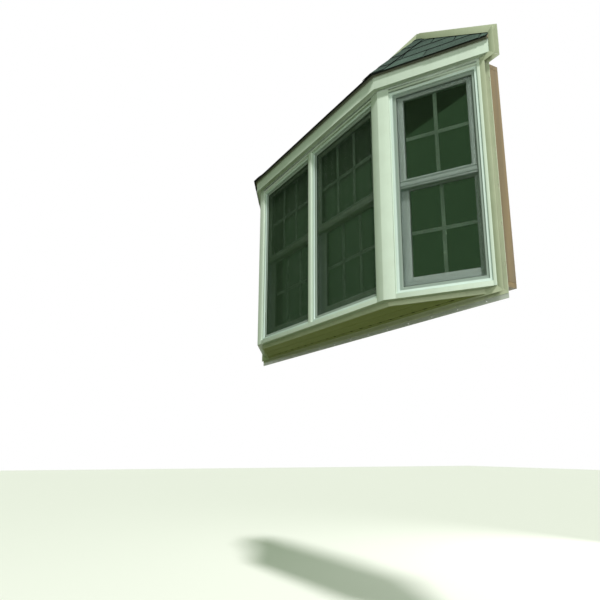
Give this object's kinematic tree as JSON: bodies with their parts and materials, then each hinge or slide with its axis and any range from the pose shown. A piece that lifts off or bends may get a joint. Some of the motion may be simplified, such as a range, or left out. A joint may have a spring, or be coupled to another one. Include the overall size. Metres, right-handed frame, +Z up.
{
  "type": "bay window with four double-hung units and a hipped roof",
  "caption": "Angled bay window, cut off at the wall: double-hung windows with screens, hipped shingle roof, seat board and vented underside.",
  "frame": {"origin": "centre of the bottom mounting fin's back face, level with the bottom of the white sill band", "axes": "+X to the right seen from outside, +Y into the house, +Z up"},
  "size_m": [2.824, 0.4905, 1.8046],
  "materials": {
    "white_trim": "satin white coated aluminium, slightly weathered",
    "white_vinyl": "white vinyl, satin",
    "siding_vinyl": "sage tan vinyl, matte",
    "screen_frame": "white coated aluminium",
    "insect_screen": "charcoal woven screen cloth",
    "window_glass": "clear sealed glass, dark room behind",
    "lock_metal": "white enamel",
    "stained_board": "clear satin lacquer",
    "framing_lumber": "rough sawn",
    "deck_board": "plywood",
    "asphalt_shingle": "mineral granules on asphalt",
    "drip_metal": "dark coated sheet",
    "galvanised_sheet": "zinc coated sheet"
  },
  "bodies": {
    "root": {"seat_board": "stained_board", "head_board": "stained_board", "top_plate": "framing_lumber", "left_wall_jamb": "stained_board", "right_wall_jamb": "stained_board", "mounting_fin": "galvanised_sheet", "side_fins": "galvanised_sheet", "left_corner_post": "stained_board", "right_corner_post": "stained_board", "centre_post": "stained_board", "left_frame": "white_vinyl", "front_left_frame": "white_vinyl", "front_right_frame": "white_vinyl", "right_frame": "white_vinyl", "left_upper_sash": "white_vinyl", "front_left_upper_sash": "white_vinyl", "front_right_upper_sash": "white_vinyl", "right_upper_sash": "white_vinyl", "left_lower_sash": "white_vinyl", "front_left_lower_sash": "white_vinyl", "front_right_lower_sash": "white_vinyl", "right_lower_sash": "white_vinyl", "left_glass": "window_glass", "front_left_glass": "window_glass", "front_right_glass": "window_glass", "right_glass": "window_glass", "left_screen_frame": "screen_frame", "front_left_screen_frame": "screen_frame", "front_right_screen_frame": "screen_frame", "right_screen_frame": "screen_frame", "insect_mesh": "insect_screen", "sash_locks": "lock_metal", "left_corner_cover": "white_trim", "right_corner_cover": "white_trim", "centre_cover": "white_trim", "wall_trim": "white_trim", "sill_trim": "white_trim", "head_trim": "white_trim", "fascia": "white_trim", "eave_soffit": "white_trim", "skirt": "siding_vinyl", "bottom_soffit": "siding_vinyl", "roof_deck": "deck_board", "rafters": "framing_lumber", "roof_ledger": "framing_lumber", "roof_shingles": "asphalt_shingle", "hip_caps": "asphalt_shingle", "drip_edge": "drip_metal", "roof_flashing": "galvanised_sheet", "bottom_channel": "siding_vinyl", "side_channels": "siding_vinyl", "roof_channel": "siding_vinyl"}
  },
  "joints": []
}
